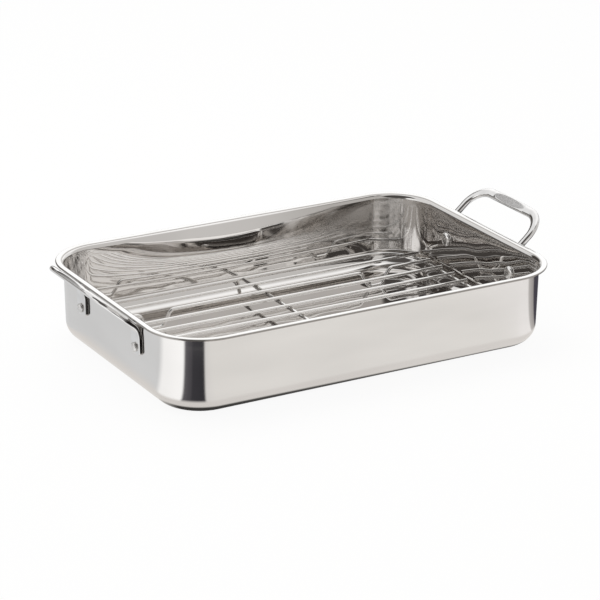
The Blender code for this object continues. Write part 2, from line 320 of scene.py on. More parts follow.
def rolledRim():
    # The flattened rim, buffed bright, with the soft unevenness of a rolled edge, and a painted shade that
    # darkens its bends below the top
    material, tree, shader = newSteel("rolledRim")
    scuff = streaks(tree, rimFinish["scuff"], detail=3)
    colour, roughness = mottled(tree, rimFinish, scuff, scuff)
    _, _, z = pieceAxes(tree)
    # Painted shade: the rim is darkened below its top
    start, end = rimFinish["paintedRimShadeDrop"]
    settings = {0: z, 1: rimHeight - start, 2: rimHeight - end}
    paintedRimShade = addNode(tree, "ShaderNodeMapRange", settings).outputs[0]
    dark = linear(rimFinish["paintedRimShade"])
    colour = addNode(tree, "ShaderNodeMix", {"data_type": "RGBA", 0: paintedRimShade, 6: colour, 7: dark})
    relief = addNode(tree, "ShaderNodeBump", {"Height": scuff, "Distance": rimFinish["scuffDepth"]})
    setLook(tree, shader, colour.outputs[2], roughness, relief.outputs[0])
    return material


castFinish = {
    "pale": "#ebeae9",
    "dark": "#dfdedd",
    "roughness": (0.03, 0.06),
    "peel": (0.009, 0.009, 0.009),  # the buffed casting's faint orange peel
    "peelDepth": 0.000003,
    "paintedSideShade": "#33312f",  # painted shade, near black, on the ears' and legs' upright sides
    "paintedSideRoughness": 0.28,
    "paintedSideTurn": (0.78, 0.92),  # how squarely a side faces along the end wall
    "paintedSideDrop": (0.0005, 0.003),  # below the rim's top, from where the painted shade comes on
}
padFinish = {
    "pale": "#d6d5d4",
    "dark": "#a9a7a6",
    "roughness": (0.24, 0.4),
    "grain": (0.0016, 0.0016, 0.0016),  # drawn coarser than the real bead blast, to show
    "grainDepth": 0.00002,
    "halfLength": 0.0225,
    "halfWidth": 0.0037,
    "halfDepth": 0.0012,
    "fade": (1.04, 0.96),  # shares of those sizes, from outside the oval to inside it
}


def buffedCasting():
    # Cast stainless, mirror buffed, with strong black and white reflections and a near black painted shade
    # on the ears' and legs' upright sides; the grip's flat oval is bead blasted, pale and mottled
    material, tree, shader = newSteel("buffedCasting")
    peel = streaks(tree, castFinish["peel"])
    grain = streaks(tree, padFinish["grain"], detail=3)
    buffed, buffedRoughness = mottled(tree, castFinish, peel, peel)
    blasted, blastedRoughness = mottled(tree, padFinish, grain, grain)

    point = addNode(tree, "ShaderNodeTexCoord").outputs
    oneSide = addNode(tree, "ShaderNodeVectorMath", {"operation": "ABSOLUTE", 0: point["Object"]})
    _, _, top, _, below = handleLine()
    oval = addNode(tree, "ShaderNodeMapping", {
        "vector_type": "TEXTURE",
        "Vector": oneSide.outputs[0],
        "Location": top - below * handle["barThickness"] / 2,
        "Rotation": (0, -handle["slope"], 0),
        "Scale": (padFinish["halfWidth"], padFinish["halfLength"], padFinish["halfDepth"]),
    })
    reach = addNode(tree, "ShaderNodeVectorMath", {"operation": "LENGTH", 0: oval.outputs[0]})
    outer, inner = padFinish["fade"]
    settings = {0: reach.outputs["Value"], 1: outer, 2: inner}
    pad = addNode(tree, "ShaderNodeMapRange", settings).outputs[0]
    colour = addNode(tree, "ShaderNodeMix", {"data_type": "RGBA", 0: pad, 6: buffed, 7: blasted})
    roughness = addNode(tree, "ShaderNodeMix", {0: pad, 2: buffedRoughness, 3: blastedRoughness})

    # Painted shade: upright sides that face along the end wall, below the rim, are darkened near to black
    facing = addNode(tree, "ShaderNodeSeparateXYZ", {0: point["Normal"]}).outputs["Y"]
    sideways = addNode(tree, "ShaderNodeMath", {"operation": "ABSOLUTE", 0: facing}).outputs[0]
    start, end = castFinish["paintedSideTurn"]
    square = addNode(tree, "ShaderNodeMapRange", {0: sideways, 1: start, 2: end}).outputs[0]
    _, _, z = pieceAxes(tree)
    start, end = castFinish["paintedSideDrop"]
    settings = {0: z, 1: rimHeight - start, 2: rimHeight - end, 4: square}
    paintedSideShade = addNode(tree, "ShaderNodeMapRange", settings).outputs[0]
    settings = {"data_type": "RGBA", 0: paintedSideShade, 6: colour.outputs[2], 7: linear(castFinish["paintedSideShade"])}
    colour = addNode(tree, "ShaderNodeMix", settings)
    settings = {0: paintedSideShade, 2: roughness.outputs[0], 3: castFinish["paintedSideRoughness"]}
    roughness = addNode(tree, "ShaderNodeMix", settings)

    pitted = addNode(tree, "ShaderNodeMath", {"operation": "MULTIPLY", 0: grain, 1: pad}).outputs[0]
    peeled = addNode(tree, "ShaderNodeBump", {"Height": peel, "Distance": castFinish["peelDepth"]})
    settings = {"Height": pitted, "Distance": padFinish["grainDepth"], "Normal": peeled.outputs[0]}
    relief = addNode(tree, "ShaderNodeBump", settings)
    setLook(tree, shader, colour.outputs[2], roughness.outputs[0], relief.outputs[0])
    return material


rivetFinish = {
    "pale": "#f1f0ee",
    "dark": "#e2e0de",
    "roughness": (0.14, 0.24),
    "rougher": 0.26,  # added outside the pan, where the heads are tumbled instead of buffed
    "mark": (0.003, 0.003, 0.003),  # press marks, about 3 mm across
    "markDepth": 0.00001,
}


def setRivet():
    # Stainless rivets: pressed and buffed bright inside the pan, tumbled and softer outside
    material, tree, shader = newSteel("setRivet")
    mark = streaks(tree, rivetFinish["mark"])
    colour, roughness = mottled(tree, rivetFinish, mark, mark)
    x, _, _ = pieceAxes(tree)
    outward = addNode(tree, "ShaderNodeMath", {"operation": "ABSOLUTE", 0: x}).outputs[0]
    settings = {"operation": "GREATER_THAN", 0: outward, 1: halfLength}
    outside = addNode(tree, "ShaderNodeMath", settings).outputs[0]
    settings = {"operation": "MULTIPLY_ADD", 0: outside, 1: rivetFinish["rougher"], 2: roughness}
    roughness = addNode(tree, "ShaderNodeMath", settings)
    relief = addNode(tree, "ShaderNodeBump", {"Height": mark, "Distance": rivetFinish["markDepth"]})
    setLook(tree, shader, colour, roughness.outputs[0], relief.outputs[0])
    return material


wireFinish = {
    "pale": "#f4f3f1",
    "dark": "#e2e0de",
    "roughness": (0.03, 0.07),
    "lineWidth": 0.0006,  # drawing lines, coarser than real to show
    "lineLength": 0.05,
    "lineDepth": 0.000002,
}


def drawnWire(name, along):  # along: 0 for a wire along x, 1 along y
    # Stainless wire, drawn and electropolished: bright, with fine lines along its length
    material, tree, shader = newSteel(name)
    cell = [wireFinish["lineWidth"]] * 3
    cell[along] = wireFinish["lineLength"]
    lines = streaks(tree, cell)
    colour, roughness = mottled(tree, wireFinish, lines, lines)
    relief = addNode(tree, "ShaderNodeBump", {"Height": lines, "Distance": wireFinish["lineDepth"]})
    setLook(tree, shader, colour, roughness, relief.outputs[0])
    return material


weldFinish = {
    "pale": "#d3cfca",
    "dark": "#8f8a85",
    "roughness": (0.2, 0.45),
    "grain": (0.0012, 0.0012, 0.0012),  # scale round the weld, in patches of about 1 mm
    "grainDepth": 0.00008,
}


def weldBead():
    # Spot weld squeezed out between two wires: greyer and rougher than the wire
    material, tree, shader = newSteel("weldBead")
    grain = streaks(tree, weldFinish["grain"])
    colour, roughness = mottled(tree, weldFinish, grain, grain)
    relief = addNode(tree, "ShaderNodeBump", {"Height": grain, "Distance": weldFinish["grainDepth"]})
    setLook(tree, shader, colour, roughness, relief.outputs[0])
    return material


print("helpers and finishes ready")


# Pan sheet

_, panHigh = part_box("pan_body")

pan = {
    "sheet": 0.001,
    "wallLean": math.radians(1.2),
    "cornerRadius": 0.042,
    "floorRadius": 0.0155,
    "neckRadius": 0.0045,
    "rimReach": 0.0068,
    "hemGap": 0.0002,
    "cornerSteps": 28,
    "floorSteps": 12,
    "neckSteps": 8,
    "edgeSteps": 16,
    "wallRows": 8,
    "wallColumns": 16,
}
halfLength = panHigh.x - pan["rimReach"]  # over the walls, just under the rim
halfWidth = panHigh.y - pan["rimReach"]
rimHeight = panHigh.z
rimEdge = 2 * pan["sheet"] + pan["hemGap"]
neckRise = (pan["neckRadius"] - pan["sheet"]) * math.sin(pan["wallLean"])
neckHeight = rimHeight - pan["neckRadius"] + neckRise


def wallOffset(height):  # outer face of a leaning wall, against its place at the neck
    return -(neckHeight - height) * math.tan(pan["wallLean"])


def floorCentre():
    radius = pan["floorRadius"]
    touch = radius * (1 - math.sin(pan["wallLean"]))
    return wallOffset(touch) - radius * math.cos(pan["wallLean"]), radius


def rowsBetween(a, b, count):
    return [(mix(a[0], b[0], k / count), mix(a[1], b[1], k / count)) for k in range(1, count)]


def panProfile():  # strips of (offset, height) with the finish that each one has
    sheet, neckRadius, lean = pan["sheet"], pan["neckRadius"], pan["wallLean"]
    neck = ((neckRadius - sheet) * math.cos(lean), rimHeight - neckRadius)
    edgeRadius = rimEdge / 2
    edge = (pan["rimReach"] - edgeRadius, rimHeight - edgeRadius)
    turnStart = math.pi - math.asin((edgeRadius - sheet) / edgeRadius)
    outerFillet = arc(floorCentre(), pan["floorRadius"], -quarterTurn, -lean, pan["floorSteps"])
    outerNeck = arc(neck, neckRadius - sheet, math.pi - lean, quarterTurn, pan["neckSteps"])
    hem = arc(edge, edgeRadius, turnStart, quarterTurn + 2 * math.pi, pan["edgeSteps"])
    innerNeck = arc(neck, neckRadius, quarterTurn, math.pi - lean, pan["neckSteps"])
    innerFillet = arc(floorCentre(), pan["floorRadius"] - sheet, -lean, -quarterTurn, pan["floorSteps"])
    outside = outerFillet + rowsBetween(outerFillet[-1], outerNeck[0], pan["wallRows"]) + outerNeck
    rim = hem + innerNeck[:pan["neckSteps"] // 2]
    inside = innerNeck[pan["neckSteps"] // 2:]
    inside += rowsBetween(innerNeck[-1], innerFillet[0], pan["wallRows"]) + innerFillet
    return outside, rim, inside


def planRing(offset, height):
    radius = pan["cornerRadius"] + offset
    middleX = halfLength + offset - radius
    middleY = halfWidth + offset - radius
    ring = []
    for quarter, (sx, sy) in enumerate(quarters):
        start = quarter * quarterTurn
        end = start + quarterTurn
        turn = arc((sx * middleX, sy * middleY), radius, start, end, pan["cornerSteps"])
        nextX, nextY = quarters[(quarter + 1) % len(quarters)]
        onward = (nextX * middleX + radius * math.cos(end), nextY * middleY + radius * math.sin(end))
        turn += rowsBetween(turn[-1], onward, pan["wallColumns"])
        ring += [Vector((x, y, height)) for x, y in turn]
    return ring


def makePan(rivetPlaces):
    outside, rim, inside = panProfile()
    lastOutside = len(outside) - 1
    lastRim = lastOutside + len(rim)

    def finish(strip, side):
        if strip < lastOutside:
            return 0
        return 1 if strip < lastRim else 2

    shape = loft([planRing(*point) for point in outside + rim + inside], finish)
    finishes = (satinSheet(), rolledRim(), mirrorSheet())
    piece = addObject("panSheet", smoothMesh("panSheet", shape), finishes)
    drill(piece, [matrix for _, _, matrix in rivetPlaces])
    dress(piece, "pan", "pan_steel", "pan_body")
    print("pan sheet", len(piece.data.polygons), "faces")


def endPlace(side, out, across, height):  # out is measured square from the end wall's outer face
    lean = pan["wallLean"]
    base = halfLength + wallOffset(height)
    return Vector((side * (base + out * math.cos(lean)), across, height - out * math.sin(lean)))


# Rivets

rivet = {
    "rise": 0.0063,  # above the lower end of an ear
    "shank": 0.0025,
    "holeClearance": 0.0003,
    "domeRadius": 0.0064,
    "domeHeight": 0.0027,
    "domeEdge": 0.0004,
    "buttonRadius": 0.004,
    "buttonHeight": 0.0026,
    "buttonEdge": 0.0009,  # height of its straight side, under the crown
    "seat": 0.0003,
    "crownEnd": math.radians(88),  # just short of the pole, where the head closes with a tiny flat
    "drillReach": 0.006,  # each way from the wall's outer face
    "sides": 40,
    "steps": 8,
}


def findRivets():
    height = rimHeight - handle["earDepth"] + rivet["rise"]
    for end, side in (("Left", -1), ("Right", 1)):
        for place, across in (("Front", -handle["span"] / 2), ("Rear", handle["span"] / 2)):
            matrix = Matrix.Translation(endPlace(side, 0, across, height))
            if side < 0:
                matrix @= Matrix.Rotation(math.pi, 4, "Z")
            yield end, place, matrix @ Matrix.Rotation(pan["wallLean"], 4, "Y")


def turned(profile):  # a round piece about its own X axis
    turns = [2 * math.pi * k / rivet["sides"] for k in range(rivet["sides"])]
    return loft([[Vector((x, r * math.cos(a), r * math.sin(a))) for a in turns] for x, r in profile])


def rivetShape():
    inner = -pan["sheet"] - rivet["seat"]
    outer = rivet["seat"] + handle["earThickness"] + rivet["seat"]
    steps = rivet["steps"]
    crown = [rivet["crownEnd"] * (1 - k / steps) for k in range(steps + 1)]
    low = inner - rivet["domeEdge"]
    high = rivet["domeHeight"] - rivet["domeEdge"]
    profile = [(low - high * math.sin(a), rivet["domeRadius"] * math.cos(a)) for a in crown]
    profile += [(inner, rivet["domeRadius"] - rivet["domeEdge"] / 2), (inner, rivet["shank"])]
    profile += [(outer, rivet["shank"]), (outer, rivet["buttonRadius"] - rivet["domeEdge"] / 2)]
    crest = rivet["buttonHeight"] - rivet["buttonEdge"]
    low = outer + rivet["buttonEdge"]
    profile += [(low + crest * math.sin(a), rivet["buttonRadius"] * math.cos(a)) for a in reversed(crown)]
    return turned(profile)


def drill(piece, matrices):  # rivet holes
    radius = rivet["shank"] + rivet["holeClearance"]
    reach = rivet["drillReach"]
    cutters = []
    for matrix in matrices:
        data = smoothMesh("hole", turned(((-reach, radius), (reach, radius))))
        cutter = addObject("hole", data, ())
        cutter.matrix_world = matrix
        cutters.append(cutter)
        modifier = piece.modifiers.new("hole", "BOOLEAN")
        modifier.operation = "DIFFERENCE"
        modifier.solver = "EXACT"
        modifier.object = cutter
    bpy.context.view_layer.update()
    graph = bpy.context.evaluated_depsgraph_get()
    cut = bpy.data.meshes.new_from_object(piece.evaluated_get(graph))
    piece.modifiers.clear()
    piece.data = cut
    cut.set_sharp_from_angle(angle=sharpEdge)
    for cutter in cutters:
        bpy.data.objects.remove(cutter, do_unlink=True)


def makeRivets(rivetPlaces):
    finish = setRivet()
    for end, place, matrix in rivetPlaces:
        shape = rivetShape()
        bmesh.ops.transform(shape, matrix=matrix, verts=shape.verts)
        name = f"rivet{end}{place}"
        piece = addObject(name, smoothMesh(name, shape), (finish,))
        dress(piece, "pan", "rivet_steel", f"rivet_{end.lower()}_{place.lower()}")
    print("rivets", len(rivetPlaces))


# Handles

handle = {
    "span": 0.102,
    "rise": 0.0172,
    "slope": math.radians(41),
    "loopCorner": 0.021,
    "bendRadius": 0.01,
    "barWidth": 0.0066,
    "barThickness": 0.0052,
    "barRound": 0.0022,
    "gripWidth": 0.009,
    "gripLength": 0.05,
    "gripTaper": 0.045,
    "crown": 0.0024,  # depth of the bar's rounded upper face, into which the pad's oval is cut
    "padRound": 0.001,
    "earWidth": 0.017,
    "earThickness": 0.0022,
    "earRound": 0.0005,
    "earDraft": 0.0008,
    "earCorner": 0.004,
    "earDepth": 0.0336,
    "rimClearance": 0.0003,
    "bendSteps": 24,
    "rings": 90,
    "earSteps": 8,
    "roundSteps": 6,
}


def barSection(width, thickness, upper, lower, draft):  # draft: what each side leans in by, outward
    points = []
    for quarter, (sx, sy) in enumerate(quarters):
        wide, deep = (lower, lower) if sy > 0 else upper
        middleX, middleY = sx * (width / 2 - wide), sy * (thickness / 2 - deep)
        start = quarter * quarterTurn
        unit = arc((0, 0), 1, start, start + quarterTurn, handle["roundSteps"])
        points += [(middleX + wide * a, middleY + deep * b) for a, b in unit]
    return [(a * (1 - draft / width * (1 + 2 * b / thickness)), b) for a, b in points]


def handleLine():  # an ear's foot, the bend, the grip's middle, and the loop's own directions
    slope, lean = handle["slope"], pan["wallLean"]
    wallUp = Vector((math.sin(lean), 0, math.cos(lean)))
    along = Vector((math.cos(slope), 0, math.sin(slope)))
    below = Vector((math.sin(slope), 0, -math.cos(slope)))
    edge = Vector((halfLength + pan["rimReach"] - rimEdge / 2, 0, rimHeight - rimEdge / 2))
    passing = edge + below * (rimEdge / 2 + handle["rimClearance"] + handle["barThickness"] / 2)
    foot = endPlace(1, rivet["seat"] + handle["earThickness"] / 2, 0, rimHeight - handle["earDepth"])
    gap = passing - foot
    climb = (gap.x * along.z - gap.z * along.x) / (wallUp.x * along.z - wallUp.z * along.x)
    bend = foot + wallUp * climb
    top = bend + along * ((rimHeight + handle["rise"] - bend.z) / along.z)
    return foot, bend, top, along, below


def handleShape():
    halfSpan = handle["span"] / 2
    foot, bend, top, along, below = handleLine()
    front = Vector((0, -halfSpan, 0))
    corners = [foot + front, bend + front, top + front, top]
    path = rounded(corners, (0, handle["bendRadius"], handle["loopCorner"], 0), handle["bendSteps"])

    bendReach = handle["bendRadius"] * math.tan((bend - foot).angle(along) / 2)
    climb = (bend - foot).length
    earTop, legStart = climb - bendReach, climb + bendReach
    earCorner, gripLength = handle["earCorner"], handle["gripLength"]
    lengths = [0.0]
    for a, b in zip(path, path[1:]):
        lengths.append(lengths[-1] + (b - a).length)
    whole = lengths[-1]
    steps = handle["earSteps"]
    stops = [earCorner * (1 - math.cos(quarterTurn * k / steps)) for k in range(steps + 1)]
    stops += [mix(earCorner, whole, k / handle["rings"]) for k in range(1, handle["rings"] + 1)]

    half, tiny = [], 1e-6  # tiny evens out rounding
    for stop in stops:
        i = max(k for k in range(len(path) - 1) if lengths[k] <= stop + tiny)
        tangent = (path[i + 1] - path[i]).normalized()
        place = path[i] + tangent * (stop - lengths[i])
        if place.y < -halfSpan + tiny:
            side = Vector((0, -1, 0))
            normal = tangent.cross(side)
        else:
            normal = below
            side = normal.cross(tangent)
        toBar = eased(earTop - earCorner, legStart + earCorner, stop)
        toGrip = eased(gripLength / 2 + handle["gripTaper"], gripLength / 2, whole - stop)
        part = min((whole - stop) / padFinish["halfLength"], 1)
        flat = padFinish["halfWidth"] * math.sqrt(1 - part**2)
        width = mix(mix(handle["earWidth"], handle["barWidth"], toBar), handle["gripWidth"], toGrip)
        if stop < earCorner:
            width -= 2 * (earCorner - math.sqrt(earCorner**2 - (earCorner - stop) ** 2))
        thickness = mix(handle["earThickness"], handle["barThickness"], toBar)
        lower = mix(handle["earRound"], handle["barRound"], toBar)
        wide = mix(handle["earRound"], max(width / 2 - flat, handle["padRound"]), toBar)
        crown = mix(handle["crown"], handle["padRound"], (flat / padFinish["halfWidth"]) ** 2)
        upper = (wide, mix(handle["earRound"], crown, toBar))
        ring = barSection(width, thickness, upper, lower, mix(handle["earDraft"], 0, toBar))
        half.append([place + side * a + normal * b for a, b in ring])
    mirror = Matrix.Diagonal((1, -1, 1))
    return loft(half + [[mirror @ p for p in ring] for ring in reversed(half[:-1])])


def makeHandles(rivetPlaces):
    finish = buffedCasting()
    for end, turn in (("Left", math.pi), ("Right", 0)):
        shape = handleShape()
        bmesh.ops.transform(shape, matrix=Matrix.Rotation(turn, 4, "Z"), verts=shape.verts)
        piece = addObject(f"handle{end}", smoothMesh(f"handle{end}", shape), (finish,))
        drill(piece, [matrix for side, _, matrix in rivetPlaces if side == end])
        dress(piece, "pan", "handle_steel", f"handle_{end.lower()}")
        print("handle", end, len(piece.data.polygons), "faces")


# Rack

frameLow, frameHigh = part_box("rack_frame")

rack = {
    "frameWire": 0.0035,
    "gridWire": 0.0032,
    "cornerRadius": 0.038,
    "gridCount": 9,
    "footedWires": (2, 8),
    "footDrop": 0.0146,
    "footSetback": 0.059,
    "footTop": 0.031,
    "footBottom": 0.0135,
    "footRound": 0.0055,
    "cutBevel": 0.0004,
    "wireSides": 20,
    "bendSteps": 10,
    "cornerSteps": 24,
}


def tube(path, diameter, closed=False):  # a wire along a flat or level path, with bevelled cut ends
    sides = rack["wireSides"]
    count = len(path)
    rings = []
    side = None  # a level direction square to the first run, carried on round the bends
    for i, place in enumerate(path):
        before = path[i - 1] if closed or i else place
        after = path[(i + 1) % count] if closed or i < count - 1 else place
        tangent = (after - before).normalized()
        if side is None:
            side = tangent.cross(Vector((0, 0, 1)))
        side = (side - tangent * side.dot(tangent)).normalized()
        up = side.cross(tangent)
        rings.append((place, tangent, side, up, diameter / 2))
    if not closed:
        bevel = rack["cutBevel"]
        cuts = []
        for (place, tangent, side, up, radius), inward in ((rings[0], 1), (rings[-1], -1)):
            inner = (place + tangent * bevel * inward, tangent, side, up, radius)
            cuts.append([(place, tangent, side, up, radius - bevel), inner])
        rings = cuts[0] + rings[1:-1] + cuts[1][::-1]
    turns = [2 * math.pi * k / sides for k in range(sides)]
    points = [
        [place + side * radius * math.cos(a) + up * radius * math.sin(a) for a in turns]
        for place, _, side, up, radius in rings
    ]
    return loft(points, joined=closed)


def makeWire(name, path, diameter, finish, node, closed=False):
    piece = addObject(name, smoothMesh(name, tube(path, diameter, closed)), (finish,))
    dress(piece, "rack", "wire_steel", node)


def makeRack():
    alongX, alongY = drawnWire("drawnWireLong", along=0), drawnWire("drawnWireCross", along=1)
    frameRadius = rack["frameWire"] / 2
    middle = (frameLow + frameHigh) / 2
    lineX = (frameHigh.x - frameLow.x) / 2 - frameRadius
    lineY = (frameHigh.y - frameLow.y) / 2 - frameRadius
    corners = [middle + Vector((x * lineX, y * lineY, 0)) for x, y in quarters]
    loop = rounded(corners, (rack["cornerRadius"],) * len(corners), rack["cornerSteps"], True)
    makeWire("rackFrame", loop, rack["frameWire"], alongX, "rack_frame", True)

    crossLow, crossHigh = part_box("rack_cross_wire")
    ends = [Vector((middle.x, y, middle.z)) for y in (crossLow.y, crossHigh.y)]
    makeWire("rackCrossWire", ends, rack["frameWire"], alongY, "rack_cross_wire")

    welds = bmesh.new()
    for n in range(1, rack["gridCount"] + 1):
        footed = n in rack["footedWires"]
        node = f"rack_footed_wire_{n}" if footed else f"rack_wire_{n}"
        low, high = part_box(node)
        y = (low.y + high.y) / 2
        z = high.z - rack["gridWire"] / 2
        corners = [Vector((low.x, y, z))]
        if footed:
            sole = z - rack["footDrop"]
            for foot in (low.x + rack["footSetback"], high.x - rack["footSetback"]):
                corners += [
                    Vector((foot - rack["footTop"] / 2, y, z)),
                    Vector((foot - rack["footBottom"] / 2, y, sole)),
                    Vector((foot + rack["footBottom"] / 2, y, sole)),
                    Vector((foot + rack["footTop"] / 2, y, z)),
                ]
        corners.append(Vector((high.x, y, z)))
        path = rounded(corners, (rack["footRound"],) * len(corners), rack["bendSteps"])
        makeWire(f"rackWire{n}", path, rack["gridWire"], alongX, node)
        inset = cornerInset(abs(y - middle.y), lineY)
        for x in (middle.x - lineX + inset, middle.x, middle.x + lineX - inset):
            addWeld(welds, Vector((x, y, (z - rack["gridWire"] / 2 + middle.z + frameRadius) / 2)))
    piece = addObject("rackWelds", smoothMesh("rackWelds", welds), (weldBead(),))
    dress(piece, "rack", "wire_steel")
    print("rack", rack["gridCount"], "wires")


def cornerInset(across, lineY):  # how far the frame's line has curved in from its end, beside a wire
    radius = rack["cornerRadius"]
    past = across - (lineY - radius)
    return radius - math.sqrt(radius**2 - past**2) if past > 0 else 0


weld = {
    "radius": 0.0013,
    "height": 0.0007,
    "subdivisions": 3,
}


def addWeld(shape, place):  # the bead squeezed out where two crossing wires are welded
    size = Matrix.Diagonal((weld["radius"], weld["radius"], weld["height"], 1))
    matrix = Matrix.Translation(place) @ size
    bmesh.ops.create_icosphere(shape, subdivisions=weld["subdivisions"], radius=1, matrix=matrix)


rivetPlaces = list(findRivets())
makePan(rivetPlaces)
makeRivets(rivetPlaces)
makeHandles(rivetPlaces)
makeRack()


# Studio

table = {  # the floor as the steel shows it, all painted light: a lit table between dark cards, with a painted shadow of the pan
    "shine": 1.2,  # brightest that it looks in the steel
    "shadeEnds": (-0.15, 0.1),  # x at the front's left, and towards its right where the shade thins
    "shadeEdge": (-0.0015, -0.0065),  # how far out it reaches there, past the walls' line
    "shadeLight": (0.06, 0.16),  # and the light left in it
    "shadeBlur": 0.003,
    "openFrom": (-0.1, -0.07),  # y, round the front corners: from there back no shade is drawn
    "nearStrip": (0.008, 0.02),  # out to there light falls in under the cards
    "nearColour": "#d6d3d0",
    "backCard": ((-0.2, -0.12), (0.28, 0.36)),  # dark card behind the pan, from these x and y on
    "sideCard": ((0.2, 0.23), (0.05, 0.11)),  # and one beyond the right end, behind its handle
    "cardLight": 0.3,  # light left where the cards lie
    "leftFan": (  # degrees round a front corner of the pan, and the floor's tone that way
        (-90, "#dfddda"), (-74, "#dad8d6"), (-69, "#353438"), (-50, "#39383c"), (-45, "#4b494d"),
        (-35, "#58565a"), (-29, "#ffffff"), (12, "#f8f8f8"), (32, "#cecfd0"), (90, "#cccdce"),
        (105, "#d4d4d4"),
    ),
    "rightFan": (
        (-90, "#dfddda"), (-51, "#eae8e7"), (-32, "#eae8e7"), (-26, "#b5b2b0"), (-11, "#a09c9a"),
        (-5, "#45434b"), (24, "#45434b"), (42, "#dcdcdc"), (90, "#dcdcdc"), (105, "#d4d4d4"),
    ),
    "fanReach": (0.185, 0.21),  # from the corners' centres: beyond it farFloor is the darkest tone
    "farFloor": "#a3a09e",
    "horizonReach": (0.27, 0.45),  # and over this distance it takes the room's tone
    "horizon": "#c7c5c3",
}


def fan(tree, turn, stops):  # the floor's tone by the direction from a front corner of the pan
    ramp = addNode(tree, "ShaderNodeValToRGB", {0: turn})
    ramp.color_ramp.interpolation = "EASE"
    elements = ramp.color_ramp.elements
    while len(elements) > 1:
        elements.remove(elements[-1])
    elements[0].position = (stops[0][0] + 180) / 360
    elements[0].color = linear(stops[0][1])
    for degrees, colour in stops[1:]:
        elements.new((degrees + 180) / 360).color = linear(colour)
    return ramp.outputs["Color"]


def panShade(tree, x, y, gap):  # painted shadow on the floor: 1 but in the dark line along the pan's front edge, which stands for the pan's contact shadow
    left, right = table["shadeEnds"]
    dark, lighter = table["shadeLight"]
    settings = {0: x, 1: left, 2: right, 3: dark, 4: lighter}
    inShade = addNode(tree, "ShaderNodeMapRange", settings).outputs[0]
    front, back = table["openFrom"]
    side = addNode(tree, "ShaderNodeMapRange", {0: y, 1: front, 2: back}).outputs[0]
    light = addNode(tree, "ShaderNodeMath", {"operation": "MAXIMUM", 0: inShade, 1: side}).outputs[0]
    broad, thin = [pan["cornerRadius"] + offset for offset in table["shadeEdge"]]
    edge = addNode(tree, "ShaderNodeMapRange", {0: x, 1: left, 2: right, 3: broad, 4: thin}).outputs[0]
    out = addNode(tree, "ShaderNodeMath", {"operation": "SUBTRACT", 0: gap, 1: edge}).outputs[0]
    settings = {0: out, 1: -table["shadeBlur"], 2: 0, 3: light}
    return addNode(tree, "ShaderNodeMapRange", settings).outputs[0]


def floorInSteel(tree, place):  # place: a point on the floor, which only the steel shows so
    cornerX, cornerY = halfLength - pan["cornerRadius"], halfWidth - pan["cornerRadius"]
    x, y, _ = addNode(tree, "ShaderNodeSeparateXYZ", {0: place}).outputs
    folded = addNode(tree, "ShaderNodeVectorMath", {"operation": "ABSOLUTE", 0: place}).outputs[0]
    settings = {"operation": "SUBTRACT", 0: folded, 1: (cornerX, cornerY, 1)}  # the 1 drops the height
    past = addNode(tree, "ShaderNodeVectorMath", settings).outputs[0]
    settings = {"operation": "MAXIMUM", 0: past, 1: (0, 0, 0)}
    away = addNode(tree, "ShaderNodeVectorMath", settings).outputs[0]
    gap = addNode(tree, "ShaderNodeVectorMath", {"operation": "LENGTH", 0: away}).outputs["Value"]

    cards = []
    for (left, leftFull), (front, frontFull) in (table["backCard"], table["sideCard"]):
        across = addNode(tree, "ShaderNodeMapRange", {0: x, 1: left, 2: leftFull}).outputs[0]
        settings = {0: y, 1: front, 2: frontFull, 4: across}
        cards.append(addNode(tree, "ShaderNodeMapRange", settings).outputs[0])
    card = addNode(tree, "ShaderNodeMath", {"operation": "MAXIMUM", 0: cards[0], 1: cards[1]}).outputs[0]
    free = addNode(tree, "ShaderNodeMapRange", {0: card, 3: 1, 4: table["cardLight"]}).outputs[0]
    settings = {"operation": "MULTIPLY", 0: free, 1: panShade(tree, x, y, gap)}
    lit = addNode(tree, "ShaderNodeMath", settings).outputs[0]
    strength = addNode(tree, "ShaderNodeMath", {"operation": "MULTIPLY", 0: lit, 1: table["shine"]})

    pastX = addNode(tree, "ShaderNodeSeparateXYZ", {0: past}).outputs["X"]
    forward = addNode(tree, "ShaderNodeMath", {"operation": "ADD", 0: y, 1: cornerY}).outputs[0]
    angle = addNode(tree, "ShaderNodeMath", {"operation": "ARCTAN2", 0: forward, 1: pastX}).outputs[0]
    turn = addNode(tree, "ShaderNodeMapRange", {0: angle, 1: -math.pi, 2: math.pi}).outputs[0]
    right = addNode(tree, "ShaderNodeMath", {"operation": "GREATER_THAN", 0: x, 1: 0}).outputs[0]
    fans = {6: fan(tree, turn, table["leftFan"]), 7: fan(tree, turn, table["rightFan"])}
    colour = addNode(tree, "ShaderNodeMix", {"data_type": "RGBA", 0: right, **fans}).outputs[2]
    near, far = [pan["cornerRadius"] + offset for offset in table["nearStrip"]]
    part = addNode(tree, "ShaderNodeMapRange", {0: gap, 1: near, 2: far}).outputs[0]
    settings = {"data_type": "RGBA", 0: part, 6: linear(table["nearColour"]), 7: colour}
    colour = addNode(tree, "ShaderNodeMix", settings).outputs[2]
    for (near, far), tone, way in (
        (table["fanReach"], table["farFloor"], "LIGHTEN"),
        (table["horizonReach"], table["horizon"], "MIX"),
    ):
        part = addNode(tree, "ShaderNodeMapRange", {0: gap, 1: near, 2: far}).outputs[0]
        settings = {"data_type": "RGBA", "blend_type": way, 0: part, 6: colour, 7: linear(tone)}
        colour = addNode(tree, "ShaderNodeMix", settings).outputs[2]
    settings = {"Color": colour, "Strength": strength.outputs[0]}
    return addNode(tree, "ShaderNodeEmission", settings).outputs[0]


